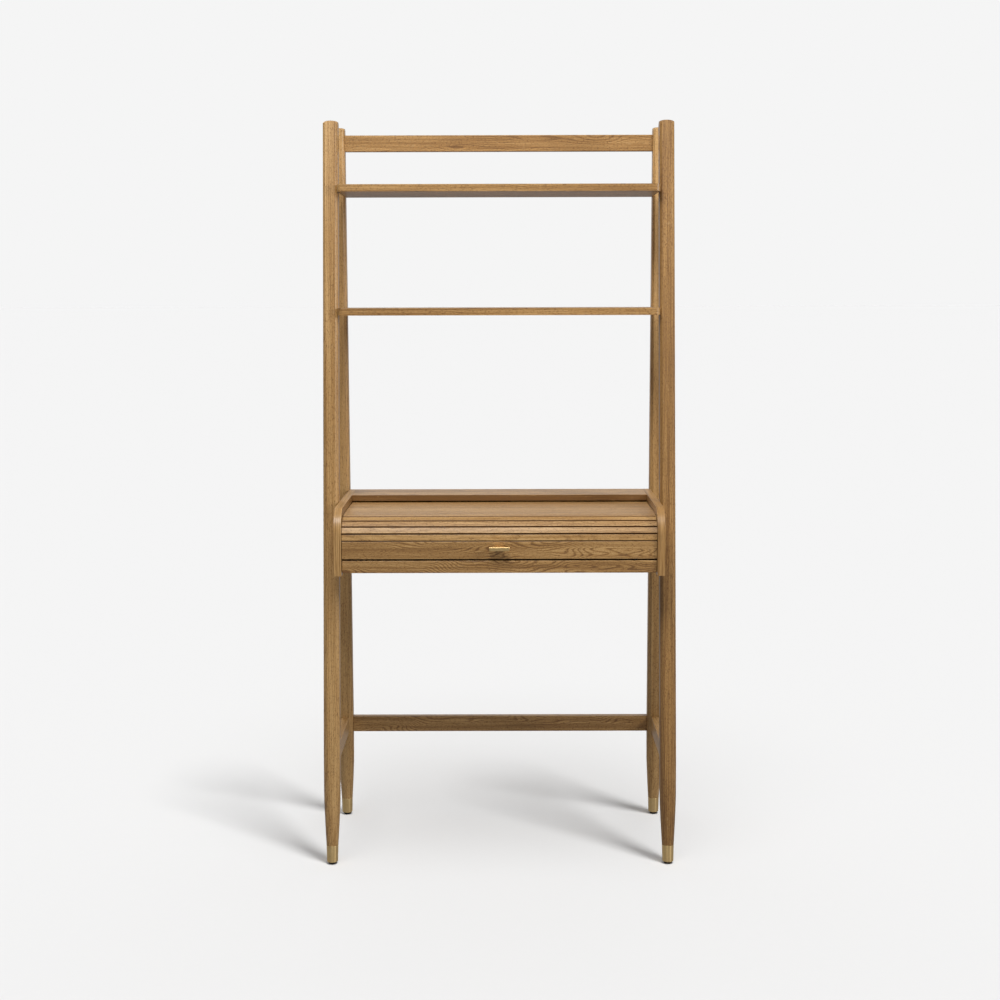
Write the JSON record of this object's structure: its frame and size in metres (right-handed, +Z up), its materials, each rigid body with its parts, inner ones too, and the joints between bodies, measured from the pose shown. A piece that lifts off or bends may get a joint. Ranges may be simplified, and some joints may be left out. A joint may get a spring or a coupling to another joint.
{
  "type": "roll top desk",
  "caption": "Oak roll top desk on a leaning A-frame with open shelves above, a slatted curtain closing the desk case, brass foot caps and a brass T pull",
  "frame": {"origin": "on the floor at the centre of the overall outline", "axes": "+Z is up, the front faces -Y, and +X is on the right of someone who looks at the front; the width runs along X"},
  "size_m": [0.886, 0.459, 1.8605],
  "materials": {
    "oak": "satin oiled oak with open grain along each piece",
    "brass": "satin brushed brass",
    "steel": "plain zinc-plated screws",
    "black_rubber": "matte black rubber glides and bumpers",
    "canvas": "plain woven canvas glued behind the slats"
  },
  "bodies": {
    "case": {"front_leg_left": "oak", "front_leg_right": "oak", "rear_leg_left": "oak", "rear_leg_right": "oak", "ferrule_front_left": "brass", "ferrule_front_right": "brass", "ferrule_rear_left": "brass", "ferrule_rear_right": "brass", "foot_glides": "black_rubber", "side_stretcher_left": "oak", "side_stretcher_right": "oak", "rear_stretcher": "oak", "top_rail": "oak", "case_support_rail": "oak", "upper_shelf": "oak", "lower_shelf": "oak", "shelf_dowels": "oak", "side_panel_left": "oak", "side_panel_right": "oak", "top_board": "oak", "back_panel": "oak", "worktop": "oak", "bottom_panel": "oak", "front_rail": "oak", "case_screws": "steel", "closing_bumpers": "black_rubber"},
    "curtain_top": {"slat_06": "oak", "slat_07": "oak", "slat_08": "oak", "slat_09": "oak", "slat_10": "oak", "curtain_canvas_top": "canvas"},
    "curtain_slat_05": {"slat_05": "oak"},
    "curtain_slat_04": {"slat_04": "oak"},
    "curtain_slat_03": {"slat_03": "oak"},
    "curtain_slat_02": {"slat_02": "oak"},
    "curtain_slat_01": {"slat_01": "oak"},
    "curtain_front": {"lift_rail": "oak", "pull_bar": "brass", "pull_post": "brass", "pull_screw": "steel"},
    "curtain_slat_11": {"slat_11": "oak"},
    "curtain_slat_12": {"slat_12": "oak"},
    "curtain_slat_13": {"slat_13": "oak"},
    "curtain_slat_14": {"slat_14": "oak"},
    "curtain_slat_15": {"slat_15": "oak"},
    "curtain_tail": {"slat_16": "oak", "slat_17": "oak", "slat_18": "oak", "slat_19": "oak", "curtain_canvas_tail": "canvas"}
  },
  "joints": [
    {"name": "curtain_slide", "type": "slide", "parent": "case", "child": "curtain_top", "axis": [0, 1, 0], "range_m": [0, 0.185]},
    {"name": "curtain_fold_05", "type": "hinge", "parent": "curtain_top", "child": "curtain_slat_05", "pos_m": [0, -0.149, 0.8795], "axis": [-1, 0, 0], "range_deg": [0, 9]},
    {"name": "curtain_fold_04", "type": "hinge", "parent": "curtain_slat_05", "child": "curtain_slat_04", "pos_m": [0, -0.16461, 0.87703], "axis": [-1, 0, 0], "range_deg": [0, 18]},
    {"name": "curtain_fold_03", "type": "hinge", "parent": "curtain_slat_04", "child": "curtain_slat_03", "pos_m": [0, -0.17868, 0.86986], "axis": [-1, 0, 0], "range_deg": [0, 18]},
    {"name": "curtain_fold_02", "type": "hinge", "parent": "curtain_slat_03", "child": "curtain_slat_02", "pos_m": [0, -0.18985, 0.85868], "axis": [-1, 0, 0], "range_deg": [0, 18]},
    {"name": "curtain_fold_01", "type": "hinge", "parent": "curtain_slat_02", "child": "curtain_slat_01", "pos_m": [0, -0.19703, 0.84461], "axis": [-1, 0, 0], "range_deg": [0, 18]},
    {"name": "curtain_fold_front", "type": "hinge", "parent": "curtain_slat_01", "child": "curtain_front", "pos_m": [0, -0.1995, 0.829], "axis": [-1, 0, 0], "range_deg": [0, 9]},
    {"name": "curtain_fold_11", "type": "hinge", "parent": "curtain_top", "child": "curtain_slat_11", "pos_m": [0, -0.07, 0.8795], "axis": [-1, 0, 0], "range_deg": [0, 9]},
    {"name": "curtain_fold_12", "type": "hinge", "parent": "curtain_slat_11", "child": "curtain_slat_12", "pos_m": [0, -0.0542, 0.8795], "axis": [-1, 0, 0], "range_deg": [0, 18]},
    {"name": "curtain_fold_13", "type": "hinge", "parent": "curtain_slat_12", "child": "curtain_slat_13", "pos_m": [0, -0.0384, 0.8795], "axis": [-1, 0, 0], "range_deg": [0, 18]},
    {"name": "curtain_fold_14", "type": "hinge", "parent": "curtain_slat_13", "child": "curtain_slat_14", "pos_m": [0, -0.0226, 0.8795], "axis": [-1, 0, 0], "range_deg": [0, 18]},
    {"name": "curtain_fold_15", "type": "hinge", "parent": "curtain_slat_14", "child": "curtain_slat_15", "pos_m": [0, -0.0068, 0.8795], "axis": [-1, 0, 0], "range_deg": [0, 18]},
    {"name": "curtain_fold_tail", "type": "hinge", "parent": "curtain_slat_15", "child": "curtain_tail", "pos_m": [0, 0.009, 0.8795], "axis": [-1, 0, 0], "range_deg": [0, 9]}
  ],
  "couplings": [
    {"joint": "curtain_fold_05", "follows": "curtain_slide", "rad_per_m": 0.84907},
    {"joint": "curtain_fold_04", "follows": "curtain_slide", "rad_per_m": 1.6982},
    {"joint": "curtain_fold_03", "follows": "curtain_slide", "rad_per_m": 1.6982},
    {"joint": "curtain_fold_02", "follows": "curtain_slide", "rad_per_m": 1.6982},
    {"joint": "curtain_fold_01", "follows": "curtain_slide", "rad_per_m": 1.6982},
    {"joint": "curtain_fold_front", "follows": "curtain_slide", "rad_per_m": 0.84907},
    {"joint": "curtain_fold_11", "follows": "curtain_slide", "rad_per_m": 0.84907},
    {"joint": "curtain_fold_12", "follows": "curtain_slide", "rad_per_m": 1.6982},
    {"joint": "curtain_fold_13", "follows": "curtain_slide", "rad_per_m": 1.6982},
    {"joint": "curtain_fold_14", "follows": "curtain_slide", "rad_per_m": 1.6982},
    {"joint": "curtain_fold_15", "follows": "curtain_slide", "rad_per_m": 1.6982},
    {"joint": "curtain_fold_tail", "follows": "curtain_slide", "rad_per_m": 0.84907}
  ]
}
